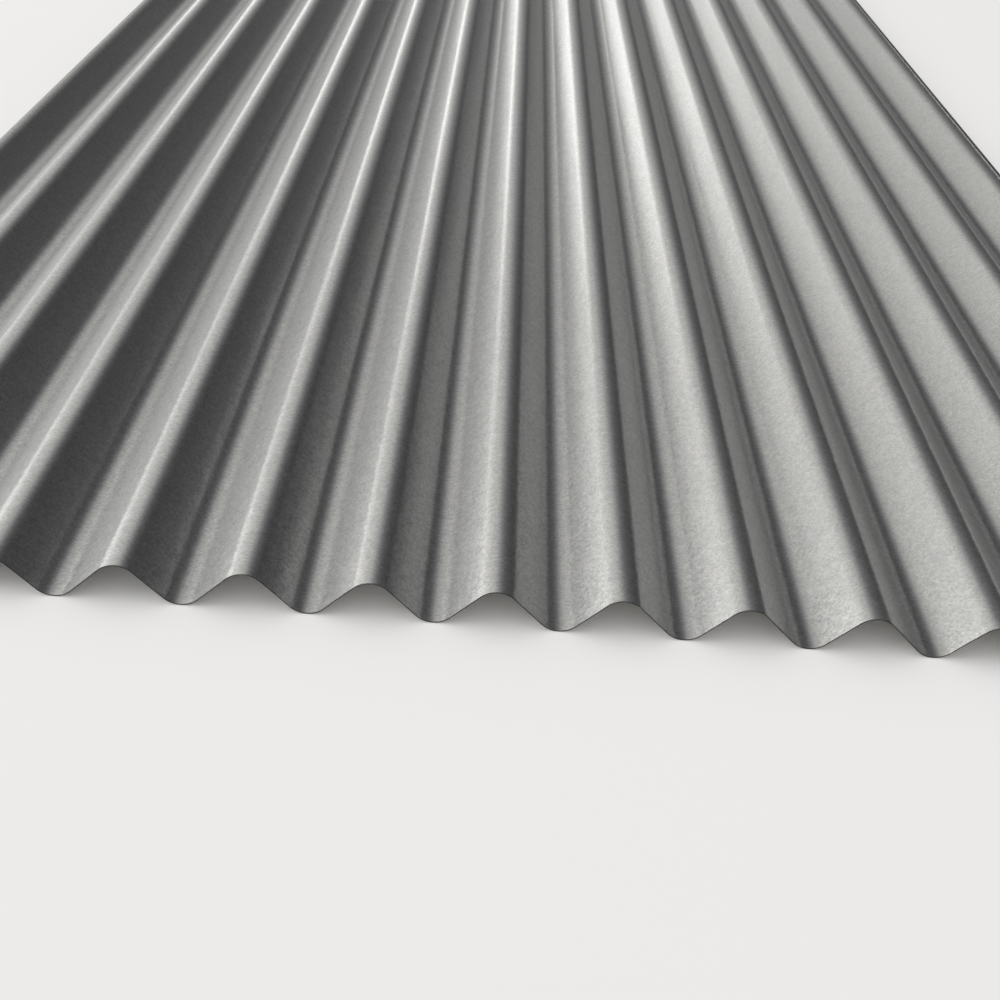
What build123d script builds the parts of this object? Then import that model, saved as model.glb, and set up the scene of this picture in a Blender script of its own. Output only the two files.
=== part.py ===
from build123d import *

import os
from math import asin, atan2, degrees, hypot

# Corrugated metal sheet: one piece of roll-formed steel, lying level on its valleys.
# X runs across the corrugations, Y along them and Z up. The origin is on the floor, under
# the middle of the sheet. All sizes are in millimetres.

# Rolled profile
corrugation_pitch = 67.73  # crest to crest, 2 2/3 in
corrugation_depth = 22.2  # valley to crest on one face, 7/8 in
bend_radius = 13.2  # of each crest and valley, at the middle of the thickness
sheet_thickness = 0.6  # 24 gauge, coating included
half_waves = 29  # crest to valley steps: an odd count ends one edge up and the other down

# Cut length
sheet_length = 2438.4  # 8 ft stock

# Straight flanks touch the bends at both of their ends, so their slope follows from where
# the centres of a crest's arc and the next valley's arc lie.
half_pitch = corrugation_pitch / 2
crest_centre_height = sheet_thickness / 2 + corrugation_depth - bend_radius
valley_centre_height = sheet_thickness / 2 + bend_radius
centre_drop = crest_centre_height - valley_centre_height
centre_distance = hypot(half_pitch, centre_drop)
flank_angle = degrees(atan2(centre_drop, half_pitch) + asin(2 * bend_radius / centre_distance))


def bend(step, offset):
    """One bend's arc on the face that lies offset above the middle of the thickness.

    Even steps are crests and odd ones valleys. A full bend turns through twice the flank
    angle. The first and the last stop at their highest or lowest point, where the coil's
    own edges are.
    """
    is_crest = step % 2 == 0
    centre_x = (step - half_waves / 2) * half_pitch
    centre_z = crest_centre_height if is_crest else valley_centre_height
    radius = bend_radius + offset if is_crest else bend_radius - offset
    turn = -1 if is_crest else 1
    apex = 90 if is_crest else 270
    before = 0 if step == 0 else flank_angle
    after = 0 if step == half_waves else flank_angle
    return CenterArc((centre_x, centre_z), radius, apex - turn * before, turn * (before + after))


def face_line(offset):
    """The wave from edge to edge on one face: its bends, joined by straight flanks."""
    bends = [bend(step, offset) for step in range(half_waves + 1)]
    for left, right in zip(bends, bends[1:]):
        Line(left @ 1, right @ 0)
    return bends


def corrugated_sheet():
    """The section, a wave of even thickness, carried along the whole cut length."""
    with BuildPart() as sheet:
        with BuildSketch(Plane.XZ):
            with BuildLine():
                upper = face_line(sheet_thickness / 2)
                lower = face_line(-sheet_thickness / 2)
                Line(upper[0] @ 0, lower[0] @ 0)
                Line(upper[-1] @ 1, lower[-1] @ 1)
            make_face()
        extrude(amount=sheet_length / 2, both=True)
    return sheet.part


os.makedirs("parts", exist_ok=True)
export_step(corrugated_sheet(), "parts/corrugated_sheet.step")
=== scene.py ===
"""Corrugated metal sheet: the looks of one bare coated steel sheet, on a pale studio floor.

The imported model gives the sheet's place and its overall size. The operators below build a
finer surface in that place, give it its finish, and set up the floor, the light and the camera.
"""

import math

import bpy
import numpy as np
from mathutils import Matrix, Vector


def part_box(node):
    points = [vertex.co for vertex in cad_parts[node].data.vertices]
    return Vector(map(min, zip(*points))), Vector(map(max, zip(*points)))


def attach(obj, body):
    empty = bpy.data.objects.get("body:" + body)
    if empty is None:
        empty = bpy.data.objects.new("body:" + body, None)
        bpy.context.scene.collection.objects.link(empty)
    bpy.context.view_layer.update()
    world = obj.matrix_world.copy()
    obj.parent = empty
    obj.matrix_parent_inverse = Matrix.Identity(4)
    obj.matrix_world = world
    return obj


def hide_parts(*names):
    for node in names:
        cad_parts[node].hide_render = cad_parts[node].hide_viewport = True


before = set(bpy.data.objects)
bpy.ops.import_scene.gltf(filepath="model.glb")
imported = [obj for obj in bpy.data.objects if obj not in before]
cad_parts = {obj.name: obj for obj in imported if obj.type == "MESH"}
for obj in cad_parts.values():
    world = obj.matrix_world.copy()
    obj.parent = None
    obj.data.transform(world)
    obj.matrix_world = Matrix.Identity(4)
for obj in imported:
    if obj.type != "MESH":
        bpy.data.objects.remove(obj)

bl_info = {
    "name": "Corrugated metal sheet",
    "version": (1, 0, 0),
    "blender": (4, 5, 0),
    "location": "3D View > Sidebar > Sheet",
    "description": "Builds a bare coated corrugated steel sheet and a studio to see it in",
    "category": "Add Mesh",
}

NODE = "corrugated_sheet"
BODY = "root"
LOW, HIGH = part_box(NODE)
MM = 0.001

# The bulge of the flanks: the seed of its draw, then for its slow and its quick waves the least
# and the most of them along the sheet, and the share of the bulge that they make.
BULGE_SEED = 7
SLOW_WAVES, SLOW_SHARE = (2.5, 4.5), 0.7
QUICK_WAVES, QUICK_SHARE = (6.0, 9.0), 0.3

# Faces that meet at a sharper turn than this are shaded as an edge.
SHARP_TURN = math.radians(30)

# The coating's grain: specks to one crystal's width, and the part of the pattern's range over
# which it goes from the dark tone to the pale one.
SPECKS_PER_CRYSTAL = 1.4
TONE_RANGE = (0.25, 0.75)

# The scores on a cut edge: the width and depth of one, and the least and greatest roughness.
# They are drawn wider than shears leave them, so that they show.
SCORE_WIDTH = 0.8 * MM
SCORE_DEPTH = 0.05 * MM
SCORE_ROUGHNESS = (0.3, 0.6)

# The surround's tone by compass direction, in degrees clockwise from straight ahead.
TONE_BY_BEARING = (
    (-180, "A0A0A0"),
    (-110, "D8D8D6"),
    (-60, "F2F1EE"),
    (-30, "F4F3F0"),
    (-18, "E2E1DE"),
    (-8, "D4D3D1"),
    (2, "949496"),
    (13, "464649"),
    (22, "26262A"),
    (75, "26262A"),
    (125, "707070"),
    (180, "A0A0A0"),
)

# What that tone is multiplied by, by height above the floor in degrees.
TONE_BY_HEIGHT = (
    (-10, "FFFFFF"),
    (5, "FFFFFF"),
    (10, "D0D0D0"),
    (18, "C6C6C6"),
    (27, "DADADA"),
    (90, "DADADA"),
)

# Where the ceiling takes over from the walls, and where the low window opens in them.
CEILING_BY_HEIGHT = ((44, "000000"), (68, "FFFFFF"))
WINDOW_BY_BEARING = ((-23, "000000"), (-17, "FFFFFF"), (-11, "FFFFFF"), (-5, "000000"))
WINDOW_BY_HEIGHT = ((4, "FFFFFF"), (11, "000000"))

# The soft lamp on the left: where it hangs, what it is turned to, and its two sides, in metres.
LAMP_PLACE = (-3.2, -0.2, 1.3)
LAMP_TARGET = (0, -0.2, 0)
LAMP_SIZE = (4.8, 2.4)

# Half the floor's width, and how far it lies under the valleys.
FLOOR_REACH = 14.0
FLOOR_DROP = 0.05 * MM

# The camera's sensor, and the width of the picture that its lens is given for.
SENSOR_WIDTH_MM = 36
PICTURE_WIDTH_PX = 1000


def linear(code):
    """A colour written as six sRGB hex digits, as three linear values."""
    channels = [int(code[i : i + 2], 16) / 255 for i in (0, 2, 4)]
    return tuple(c / 12.92 if c <= 0.04045 else ((c + 0.055) / 1.055) ** 2.4 for c in channels)


def size_property(name, description, value_mm):
    """A length in metres, given here in millimetres."""
    return bpy.props.FloatProperty(
        name=name, description=description, default=value_mm * MM, unit="LENGTH", precision=5
    )


def colour_property(name, description, code):
    """A colour, given as six sRGB hex digits."""
    return bpy.props.FloatVectorProperty(
        name=name,
        description=description,
        default=linear(code),
        subtype="COLOR",
        size=3,
        min=0,
        max=1,
    )


def angle_property(name, description, value_deg):
    """An angle, given here in degrees."""
    return bpy.props.FloatProperty(
        name=name, description=description, default=math.radians(value_deg), subtype="ANGLE"
    )


def count_property(name, description, value, least):
    """A whole number that is never less than some least one."""
    return bpy.props.IntProperty(name=name, description=description, default=value, min=least)


def share_property(name, description, value):
    """A share of something, from 0 for none of it to 1 for all."""
    return bpy.props.FloatProperty(
        name=name, description=description, default=value, min=0, max=1, subtype="FACTOR"
    )


def amount_property(name, description, value, subtype="NONE"):
    """A number that is never below zero, in the unit that its subtype stands for."""
    return bpy.props.FloatProperty(
        name=name, description=description, default=value, min=0, subtype=subtype
    )


class SheetShape(bpy.types.PropertyGroup):
    """The rolled profile. Pitch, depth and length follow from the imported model's own size."""

    thickness: size_property("Thickness", "Thickness of the coated steel", 0.6)
    bend_radius: size_property("Bend radius", "Radius of each bend, mid thickness", 13.2)
    half_waves: count_property("Half waves", "Crest to valley steps across the sheet", 29, 2)
    bend_steps: count_property("Bend steps", "Facets along half a bend", 6, 2)
    flank_steps: count_property("Flank steps", "Facets across a flank", 6, 2)
    length_steps: count_property("Length steps", "Facets along the sheet", 84, 4)
    shear_rounding: size_property("Shear rounding", "How far the shears round a cut edge", 0.12)
    flank_bulge: size_property("Flank bulge", "How far a flank bulges between its bends", 0.15)


class SheetFinish(bpy.types.PropertyGroup):
    """The coating, and the bare steel of the cut edges, whose colour also holds painted shade."""

    coating: colour_property("Coating", "Zinc and aluminium coating", "F1F1EE")
    coating_dark: colour_property("Coating, dark grains", "Grains that reflect less", "CECECE")
    # The cut edge's colour is darker than bare steel: partly the dull steel, partly painted shade.
    edge: colour_property("Cut edge", "Bare steel where the shears cut it", "4A4845")
    grain: size_property("Grain", "Width of one crystal of the coating", 1.3)
    drift: size_property("Drift", "Width of the paler and darker drifts of crystals", 6.0)
    speck_share: share_property("Speck share", "How much specks blur the crystals' own tones", 0.5)
    drift_share: share_property("Drift share", "How much drifts blur the crystals and specks", 0.3)
    crystal_tilt: share_property("Crystal tilt", "How far the crystals lean, each its own way", 0.05)
    roughness: share_property("Roughness", "Roughness of the coating", 0.25)
    haze: share_property("Haze", "Share of the coating that scatters widely", 0.38)
    haze_roughness: share_property("Haze roughness", "Roughness of that share", 0.8)


class StudioSettings(bpy.types.PropertyGroup):
    """The floor, the light and the camera."""

    floor: colour_property("Floor", "Matt pale floor", "F4F3F1")
    floor_glow: share_property("Floor glow", "Share of the floor's paleness that needs no light", 0.85)
    shade_reach: size_property("Shade reach", "How near the sheet has to be to shade the floor", 100.0)
    ceiling: colour_property("Ceiling", "The surround high overhead", "76767C")
    window: amount_property("Window", "Brightness of the low window ahead", 1.8)
    lamp: amount_property("Lamp", "Power of the soft lamp on the left, in watts", 115, "POWER")
    camera_x: size_property("Camera across", "Camera from the sheet's middle line", -32.0)
    camera_y: size_property("Camera back", "Camera before the near end", 630.3)
    camera_z: size_property("Camera height", "Camera above the floor", 464.1)
    pan: angle_property("Pan", "Turn of the camera to the right", 1.090)
    tilt: angle_property("Tilt", "Tilt of the camera down", 31.347)
    roll: angle_property("Roll", "Lean of the camera", -4.677)
    lens_px: amount_property("Lens", "Focal length, for a picture 1000 pixels wide", 1450, "PIXEL")


def wave_section(shape, pitch, depth):
    """The middle of the thickness across the sheet, point by point.

    Gives every point's x and z, the lean of the direction out of the top, the half wave that it
    is in, and its share of the way across that half wave's flank.

    A half wave goes from a bend's top or bottom round its arc, up or down the straight flank
    that touches both arcs, and round the next arc. The flank's slope is the fall between the
    two arcs' centres, as an angle, plus the arcsine of two radii over the centres' distance.
    Points are spaced evenly round each arc, and by a half cosine across each flank, so that
    they lie closer together next to the bends.
    """
    radius, half_pitch = shape.bend_radius, pitch / 2
    fall = depth - 2 * radius
    slope = math.atan2(fall, half_pitch) + math.asin(2 * radius / math.hypot(half_pitch, fall))
    first_arc = np.linspace(0, slope, shape.bend_steps, endpoint=False)
    flank = (1 - np.cos(np.linspace(0, math.pi, shape.flank_steps, endpoint=False))) / 2
    last_arc = np.linspace(slope, 0, shape.bend_steps, endpoint=False)
    turn = np.concatenate([first_arc, np.full(len(flank), slope), last_arc])
    from_crest = radius * np.sin(first_arc), depth - radius * (1 - np.cos(first_arc))
    to_valley = half_pitch - radius * np.sin(last_arc), radius * (1 - np.cos(last_arc))
    top = radius * math.sin(slope), depth - radius * (1 - math.cos(slope))
    bottom = half_pitch - top[0], depth - top[1]
    across = np.concatenate([from_crest[0], top[0] + (bottom[0] - top[0]) * flank, to_valley[0]])
    down = np.concatenate([from_crest[1], top[1] + (bottom[1] - top[1]) * flank, to_valley[1]])

    steps = np.arange(shape.half_waves)[:, None]
    falls = steps % 2 == 0
    x = (steps - shape.half_waves / 2) * half_pitch + across[None, :]
    z = np.where(falls, down[None, :], depth - down[None, :]) + shape.thickness / 2
    lean = np.where(falls, turn[None, :], -turn[None, :])
    half_wave = np.broadcast_to(steps, x.shape)
    share = np.concatenate([np.zeros(shape.bend_steps), flank, np.ones(shape.bend_steps)])
    share = np.broadcast_to(share[None, :], x.shape)
    end_x = shape.half_waves / 2 * half_pitch
    end_z = shape.thickness / 2 + (depth if shape.half_waves % 2 == 0 else 0)
    return (
        np.append(x.ravel(), end_x),
        np.append(z.ravel(), end_z),
        np.append(lean.ravel(), 0.0),
        np.append(half_wave.ravel(), shape.half_waves - 1),
        np.append(share.ravel(), 1.0),
    )


def sheet_surface(shape):
    """Points of the sheet on a grid: across it, and round it lengthwise, over the top and back below.

    Each point is the section's middle, moved half the thickness out of the top or the bottom.
    Each flank bulges by a half sine across it, times the sum of a slow and a quick sine along it,
    whose phases and lengths come from one seeded draw. The shears round the cut edges, so that
    the outermost rows and columns are thinner.
    """
    length = HIGH.y - LOW.y
    pitch = 2 * (HIGH.x - LOW.x) / shape.half_waves
    depth = HIGH.z - LOW.z - shape.thickness
    x, z, lean, half_wave, share = wave_section(shape, pitch, depth)

    cut = shape.shear_rounding
    inner = np.linspace(-length / 2 + cut, length / 2 - cut, shape.length_steps + 1)
    y = np.concatenate([[-length / 2], inner, [length / 2]])
    t = (y / length + 0.5)[None, :]

    draw = np.random.default_rng(BULGE_SEED)
    phases = draw.uniform(0, 2 * math.pi, (2, shape.half_waves))
    slow_waves = draw.uniform(*SLOW_WAVES, shape.half_waves)
    quick_waves = draw.uniform(*QUICK_WAVES, shape.half_waves)
    slow = np.sin(2 * math.pi * slow_waves[half_wave][:, None] * t + phases[0][half_wave][:, None])
    quick = np.sin(2 * math.pi * quick_waves[half_wave][:, None] * t + phases[1][half_wave][:, None])
    along = SLOW_SHARE * slow + QUICK_SHARE * quick
    bulge = shape.flank_bulge * np.sin(math.pi * share)[:, None] * along

    half = np.full((len(x), len(y)), shape.thickness / 2)
    half[:, [0, -1]] -= cut
    half[[0, -1], :] = shape.thickness / 2 - cut
    offset = np.concatenate([bulge + half, (bulge - half)[:, ::-1]], axis=1)
    px = x[:, None] + np.sin(lean)[:, None] * offset
    py = np.broadcast_to(np.concatenate([y, y[::-1]])[None, :], px.shape)
    pz = z[:, None] + np.cos(lean)[:, None] * offset
    return np.stack([px, py, pz], axis=-1)


def sheet_mesh(name, points):
    """A closed skin over a grid of points that runs round in its second direction.

    Faces join neighbours in both directions. The first and the last loop are closed by strips
    between their upper and lower halves.
    """
    columns, loop = points.shape[:2]
    index = np.arange(columns * loop).reshape(columns, loop)
    ahead = np.roll(index, -1, axis=1)
    skin = np.stack([index[:-1], ahead[:-1], ahead[1:], index[1:]], axis=-1).reshape(-1, 4)[:, ::-1]
    half = loop // 2
    strips = []
    for side, flip in ((index[0], 1), (index[-1], -1)):
        upper, lower = side[:half], side[half:][::-1]
        strip = np.stack([upper[:-1], lower[:-1], lower[1:], upper[1:]], axis=-1)
        strips.append(strip[:, ::flip])
    faces = np.concatenate([skin, *strips])
    mesh = bpy.data.meshes.new(name)
    mesh.from_pydata(points.reshape(-1, 3).tolist(), [], faces.tolist())
    mesh.update()
    return mesh


def mark_cut_edges(mesh, points):
    """Gives the second material, bare steel darkened with painted shade, to what the shears left.

    Those are the faces at both ends, the narrow rounded strips above and below them, and the
    faces along both sides.
    """
    columns, loop = points.shape[:2]
    half = loop // 2
    slots = np.zeros(len(mesh.polygons), np.int32)
    skin = slots[: (columns - 1) * loop].reshape(columns - 1, loop)
    skin[:, [0, half - 2, half - 1, half, loop - 2, loop - 1]] = 1
    slots[(columns - 1) * loop :] = 1
    mesh.polygons.foreach_set("material_index", slots)


def add_node(tree, kind, inputs=None, **settings):
    """Adds one node, sets its own properties, and sets or links its inputs by name or number."""
    node = tree.nodes.new(kind)
    for name, value in settings.items():
        setattr(node, name, value)
    for name, value in (inputs or {}).items():
        if isinstance(value, bpy.types.NodeSocket):
            tree.links.new(value, node.inputs[name])
        else:
            node.inputs[name].default_value = value
    return node


def tone_by(tree, value, stops):
    """A tone that changes smoothly with a value, through stops given as (value, sRGB code).

    A new stop starts half way, and is then put in its place among the others.
    """
    low, high = stops[0][0], stops[-1][0]
    share = add_node(tree, "ShaderNodeMapRange", {"Value": value, "From Min": low, "From Max": high})
    node = add_node(tree, "ShaderNodeValToRGB", {"Fac": share.outputs["Result"]})
    ramp = node.color_ramp
    ramp.interpolation = "EASE"
    while len(ramp.elements) < len(stops):
        ramp.elements.new(0.5)
    for element, (stop, code) in zip(ramp.elements, stops):
        element.position = (stop - low) / (high - low)
        element.color = (*linear(code), 1)
    return node.outputs["Color"]


def new_material(name):
    """An empty node material and its tree."""
    material = bpy.data.materials.new(name)
    material.use_nodes = True
    material.node_tree.nodes.clear()
    return material, material.node_tree


def coated_steel(finish):
    """Hot-dipped zinc and aluminium coated steel, bare and new.

    The coating froze as fine flat crystals, each a little lighter or darker than the next and
    tilted a little its own way, with paler and darker drifts among them. So the metal gleams
    softly and its light bands have a fine mottle. One share of it mirrors softly, the other
    scatters widely, as a coating fresh from the line does. The crystals are drawn as wide as they
    need to be to show, which may be wider than the real ones.
    """
    material, tree = new_material("zinc_aluminium_coated_steel")
    place = add_node(tree, "ShaderNodeTexCoord").outputs["Object"]
    crystals = add_node(
        tree,
        "ShaderNodeTexVoronoi",
        {"Vector": place, "Scale": 1 / finish.grain, "Randomness": 1.0},
        feature="F1",
    ).outputs["Color"]
    specks = add_node(
        tree,
        "ShaderNodeTexNoise",
        {"Vector": place, "Scale": SPECKS_PER_CRYSTAL / finish.grain, "Detail": 1.0},
    ).outputs["Fac"]
    drifts = add_node(
        tree, "ShaderNodeTexNoise", {"Vector": place, "Scale": 1 / finish.drift, "Detail": 3.0}
    ).outputs["Fac"]
    own_tones = add_node(tree, "ShaderNodeSeparateColor", {"Color": crystals}).outputs["Red"]
    with_specks = add_node(
        tree, "ShaderNodeMix", {0: finish.speck_share, 2: own_tones, 3: specks}
    ).outputs[0]
    with_drifts = add_node(
        tree, "ShaderNodeMix", {0: finish.drift_share, 2: with_specks, 3: drifts}
    ).outputs[0]
    paleness = add_node(
        tree,
        "ShaderNodeMapRange",
        {"Value": with_drifts, "From Min": TONE_RANGE[0], "From Max": TONE_RANGE[1]},
    ).outputs["Result"]
    colour = add_node(
        tree,
        "ShaderNodeMix",
        {0: paleness, 6: (*finish.coating_dark, 1), 7: (*finish.coating, 1)},
        data_type="RGBA",
    ).outputs[2]

    # A crystal's three tones run from 0 to 1, so less a half they make a direction of its own.
    any_way = add_node(
        tree, "ShaderNodeVectorMath", {0: crystals, 1: (0.5, 0.5, 0.5)}, operation="SUBTRACT"
    ).outputs["Vector"]
    lean = add_node(
        tree, "ShaderNodeVectorMath", {0: any_way, "Scale": finish.crystal_tilt}, operation="SCALE"
    ).outputs["Vector"]
    upright = add_node(tree, "ShaderNodeNewGeometry").outputs["Normal"]
    tilted = add_node(
        tree, "ShaderNodeVectorMath", {0: upright, 1: lean}, operation="ADD"
    ).outputs["Vector"]
    normal = add_node(
        tree, "ShaderNodeVectorMath", {0: tilted}, operation="NORMALIZE"
    ).outputs["Vector"]

    gleam, haze = (
        add_node(
            tree,
            "ShaderNodeBsdfPrincipled",
            {"Base Color": colour, "Metallic": 1.0, "Roughness": roughness, "Normal": normal},
        ).outputs["BSDF"]
        for roughness in (finish.roughness, finish.haze_roughness)
    )
    surface = add_node(
        tree, "ShaderNodeMixShader", {0: finish.haze, 1: gleam, 2: haze}
    ).outputs["Shader"]
    add_node(tree, "ShaderNodeOutputMaterial", {"Surface": surface})
    return material


def sheared_steel_with_painted_shade(finish):
    """Cold-rolled steel where the shears cut it: bare, finely scored and duller than the coating.

    Its colour is darker than bare steel is: partly the dull steel, partly painted shade for the dark
    gap under a cut end. It gives the sheet a thin dark rim, and shows how thin the sheet is.
    """
    material, tree = new_material("sheared_steel_painted_shade")
    place = add_node(tree, "ShaderNodeTexCoord").outputs["Object"]
    scores = add_node(
        tree, "ShaderNodeTexNoise", {"Vector": place, "Scale": 1 / SCORE_WIDTH, "Detail": 2.0}
    ).outputs["Fac"]
    roughness = add_node(
        tree,
        "ShaderNodeMapRange",
        {"Value": scores, "To Min": SCORE_ROUGHNESS[0], "To Max": SCORE_ROUGHNESS[1]},
    ).outputs["Result"]
    normal = add_node(
        tree, "ShaderNodeBump", {"Height": scores, "Strength": 0.5, "Distance": SCORE_DEPTH}
    ).outputs["Normal"]
    # The edge colour holds painted shade as well as the bare steel's own dullness.
    surface = add_node(
        tree,
        "ShaderNodeBsdfPrincipled",
        {
            "Base Color": (*finish.edge, 1),
            "Metallic": 1.0,
            "Roughness": roughness,
            "Normal": normal,
        },
    ).outputs["BSDF"]
    add_node(tree, "ShaderNodeOutputMaterial", {"Surface": surface})
    return material


def pale_floor(studio):
    """Matt pale board, which looks evenly pale and still shows the sheet's shadow.

    What the camera and the metal see of it is mostly a paleness of its own. Where the sheet
    closes the floor in, that fades, and the light alone tells how pale the floor is.
    """
    material, tree = new_material("matt_pale_floor")
    matt = add_node(
        tree, "ShaderNodeBsdfPrincipled", {"Base Color": (*studio.floor, 1), "Roughness": 0.85}
    ).outputs["BSDF"]
    pale = add_node(
        tree, "ShaderNodeEmission", {"Color": (*studio.floor, 1), "Strength": 1.0}
    ).outputs["Emission"]
    ray = add_node(tree, "ShaderNodeLightPath")
    seen = ray.outputs["Is Camera Ray"]
    for other in ("Is Glossy Ray", "Is Transmission Ray"):
        seen = add_node(
            tree, "ShaderNodeMath", {0: seen, 1: ray.outputs[other]}, operation="MAXIMUM"
        ).outputs[0]
    open_air = add_node(
        tree, "ShaderNodeAmbientOcclusion", {"Distance": studio.shade_reach}, samples=16
    ).outputs["AO"]
    glow = add_node(
        tree, "ShaderNodeMath", {0: open_air, 1: studio.floor_glow}, operation="MULTIPLY"
    ).outputs[0]
    share = add_node(tree, "ShaderNodeMath", {0: seen, 1: glow}, operation="MULTIPLY").outputs[0]
    surface = add_node(
        tree, "ShaderNodeMixShader", {0: share, 1: matt, 2: pale}
    ).outputs["Shader"]
    add_node(tree, "ShaderNodeOutputMaterial", {"Surface": surface})
    return material


class SHEET_OT_rolled_sheet(bpy.types.Operator):
    """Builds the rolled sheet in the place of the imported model's own, with its finish"""

    bl_idname = "sheet.rolled_sheet"
    bl_label = "Rolled sheet"

    def execute(self, context):
        shape, finish = context.scene.sheet_shape, context.scene.sheet_finish
        points = sheet_surface(shape)
        mesh = sheet_mesh("rolled_sheet", points)
        piece = bpy.data.objects.new("rolled_sheet", mesh)
        context.scene.collection.objects.link(piece)
        mesh.materials.append(coated_steel(finish))
        mesh.materials.append(sheared_steel_with_painted_shade(finish))
        mesh.polygons.foreach_set("use_smooth", np.ones(len(mesh.polygons), bool))
        mesh.set_sharp_from_angle(angle=SHARP_TURN)
        mark_cut_edges(mesh, points)

        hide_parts(NODE)
        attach(piece, BODY)
        return {"FINISHED"}


def studio_surround(scene, studio):
    """The studio all round: pale cloth on the left and ahead, a black screen on the right.

    The compass direction alone tells them apart. Low down the surround is brighter, ahead on the
    left there is a low window in it, and high overhead it goes over into a plain grey ceiling.
    """
    world = bpy.data.worlds.new("studio_surround")
    world.use_nodes = True
    tree = world.node_tree
    tree.nodes.clear()
    ray = add_node(tree, "ShaderNodeTexCoord").outputs["Generated"]
    parts = add_node(tree, "ShaderNodeSeparateXYZ", {"Vector": ray}).outputs
    turn = add_node(
        tree, "ShaderNodeMath", {0: parts["X"], 1: parts["Y"]}, operation="ARCTAN2"
    ).outputs[0]
    bearing = add_node(
        tree, "ShaderNodeMath", {0: turn, 1: math.degrees(1)}, operation="MULTIPLY"
    ).outputs[0]
    rise = add_node(tree, "ShaderNodeMath", {0: parts["Z"]}, operation="ARCSINE").outputs[0]
    height = add_node(
        tree, "ShaderNodeMath", {0: rise, 1: math.degrees(1)}, operation="MULTIPLY"
    ).outputs[0]

    round_about = tone_by(tree, bearing, TONE_BY_BEARING)
    upward = tone_by(tree, height, TONE_BY_HEIGHT)
    walls = add_node(
        tree,
        "ShaderNodeMix",
        {0: 1.0, 6: round_about, 7: upward},
        data_type="RGBA",
        blend_type="MULTIPLY",
    ).outputs[2]
    overhead = tone_by(tree, height, CEILING_BY_HEIGHT)
    room = add_node(
        tree, "ShaderNodeMix", {0: overhead, 6: walls, 7: (*studio.ceiling, 1)}, data_type="RGBA"
    ).outputs[2]
    window_across = tone_by(tree, bearing, WINDOW_BY_BEARING)
    window_up = tone_by(tree, height, WINDOW_BY_HEIGHT)
    window = add_node(
        tree,
        "ShaderNodeMix",
        {0: 1.0, 6: window_across, 7: window_up},
        data_type="RGBA",
        blend_type="MULTIPLY",
    ).outputs[2]
    lit = add_node(
        tree,
        "ShaderNodeVectorMath",
        {0: window, 1: (studio.window,) * 3, 2: room},
        operation="MULTIPLY_ADD",
    ).outputs["Vector"]
    surround = add_node(
        tree, "ShaderNodeBackground", {"Color": lit, "Strength": 1.0}
    ).outputs["Background"]
    add_node(tree, "ShaderNodeOutputWorld", {"Surface": surround})
    scene.world = world


def add_lamp(scene, name, centre, target, size, power):
    """A rectangular soft lamp at a place, turned to a target, unseen by the camera itself."""
    data = bpy.data.lights.new(name, "AREA")
    data.shape = "RECTANGLE"
    data.size, data.size_y = size
    data.energy = power
    lamp = bpy.data.objects.new(name, data)
    scene.collection.objects.link(lamp)
    lamp.location = centre
    away = Vector(centre) - Vector(target)
    lamp.rotation_euler = away.to_track_quat("Z", "Y").to_euler()
    lamp.visible_camera = False


def add_floor(scene, studio):
    """A flat floor just under the valleys."""
    corners = np.array([[-1, -1], [1, -1], [1, 1], [-1, 1]]) * FLOOR_REACH
    heights = np.full((4, 1), -FLOOR_DROP)
    mesh = bpy.data.meshes.new("floor")
    mesh.from_pydata(np.hstack([corners, heights]).tolist(), [], [(0, 1, 2, 3)])
    floor = bpy.data.objects.new("floor", mesh)
    scene.collection.objects.link(floor)
    mesh.materials.append(pale_floor(studio))


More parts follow.
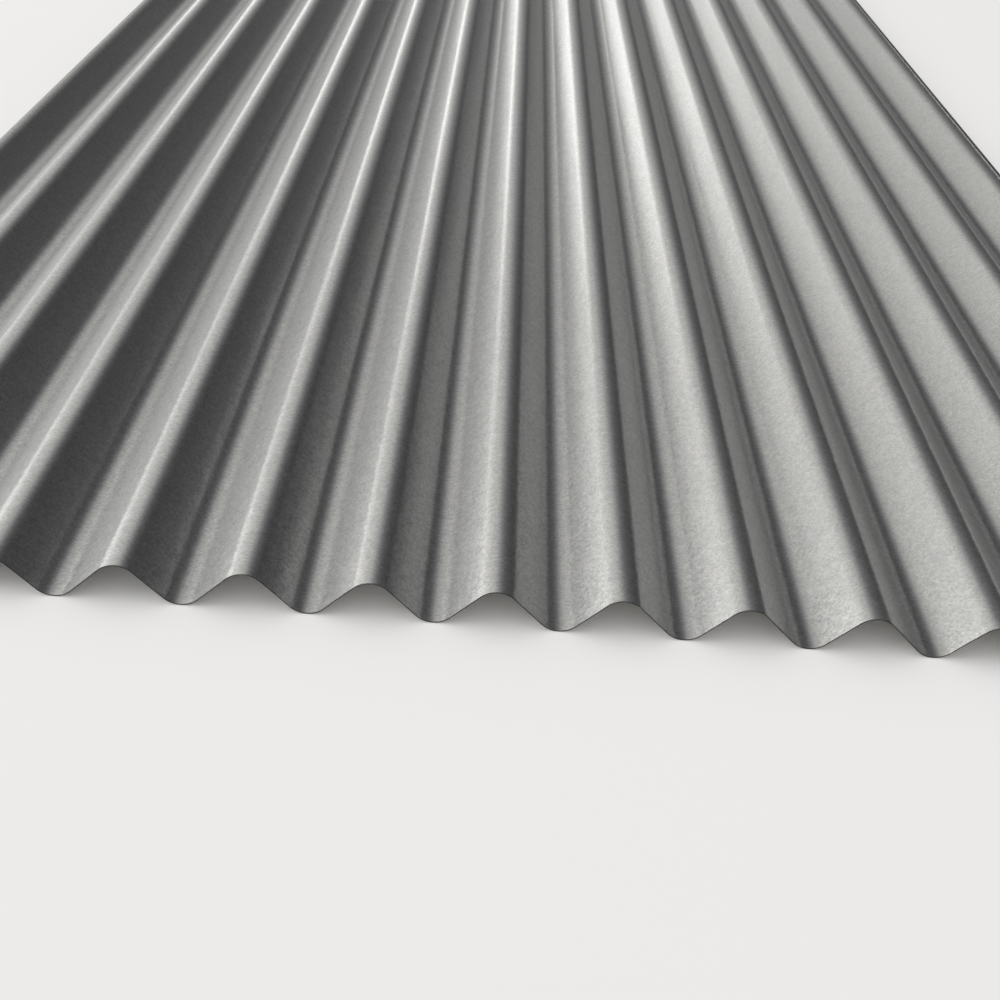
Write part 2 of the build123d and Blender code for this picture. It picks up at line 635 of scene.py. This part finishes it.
def add_camera(scene, studio):
    """The camera above the near end, looking along the corrugations and down."""
    data = bpy.data.cameras.new("camera")
    data.sensor_width = SENSOR_WIDTH_MM
    data.lens = studio.lens_px * SENSOR_WIDTH_MM / PICTURE_WIDTH_PX
    camera = bpy.data.objects.new("camera", data)
    scene.collection.objects.link(camera)
    turn = Matrix.Rotation(-studio.pan, 4, "Z") @ Matrix.Rotation(-studio.tilt, 4, "X")
    lean = Matrix.Rotation(studio.roll, 4, "Y") @ Matrix.Rotation(math.pi / 2, 4, "X")
    place = Matrix.Translation((studio.camera_x, LOW.y - studio.camera_y, studio.camera_z))
    camera.matrix_world = place @ turn @ lean
    scene.camera = camera


class SHEET_OT_studio(bpy.types.Operator):
    """Sets up the floor, the light and the camera"""

    bl_idname = "sheet.studio"
    bl_label = "Studio"

    def execute(self, context):
        scene, studio = context.scene, context.scene.sheet_studio
        scene.view_settings.view_transform = "Standard"
        add_floor(scene, studio)
        studio_surround(scene, studio)
        add_lamp(scene, "left_softbox", LAMP_PLACE, LAMP_TARGET, LAMP_SIZE, studio.lamp)
        add_camera(scene, studio)
        return {"FINISHED"}


class SHEET_PT_panel(bpy.types.Panel):
    """Lists the sheet's sizes, finish and studio, and what builds them"""

    bl_label = "Corrugated metal sheet"
    bl_idname = "SHEET_PT_panel"
    bl_space_type = "VIEW_3D"
    bl_region_type = "UI"
    bl_category = "Sheet"

    def draw(self, context):
        for title, group, operator in (
            ("Shape", context.scene.sheet_shape, None),
            ("Finish", context.scene.sheet_finish, "sheet.rolled_sheet"),
            ("Studio", context.scene.sheet_studio, "sheet.studio"),
        ):
            box = self.layout.box()
            box.label(text=title)
            for name in group.__annotations__:
                box.prop(group, name)
            if operator:
                box.operator(operator)


CLASSES = (
    SheetShape,
    SheetFinish,
    StudioSettings,
    SHEET_OT_rolled_sheet,
    SHEET_OT_studio,
    SHEET_PT_panel,
)


def register():
    """Registers the classes and hangs the settings on the scene."""
    for cls in CLASSES:
        bpy.utils.register_class(cls)
    bpy.types.Scene.sheet_shape = bpy.props.PointerProperty(type=SheetShape)
    bpy.types.Scene.sheet_finish = bpy.props.PointerProperty(type=SheetFinish)
    bpy.types.Scene.sheet_studio = bpy.props.PointerProperty(type=StudioSettings)


def unregister():
    """Takes the settings and the classes away again."""
    del bpy.types.Scene.sheet_shape
    del bpy.types.Scene.sheet_finish
    del bpy.types.Scene.sheet_studio
    for cls in reversed(CLASSES):
        bpy.utils.unregister_class(cls)


def main():
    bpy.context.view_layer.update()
    register()
    bpy.ops.sheet.rolled_sheet()
    bpy.ops.sheet.studio()


if __name__ == "__main__":
    main()
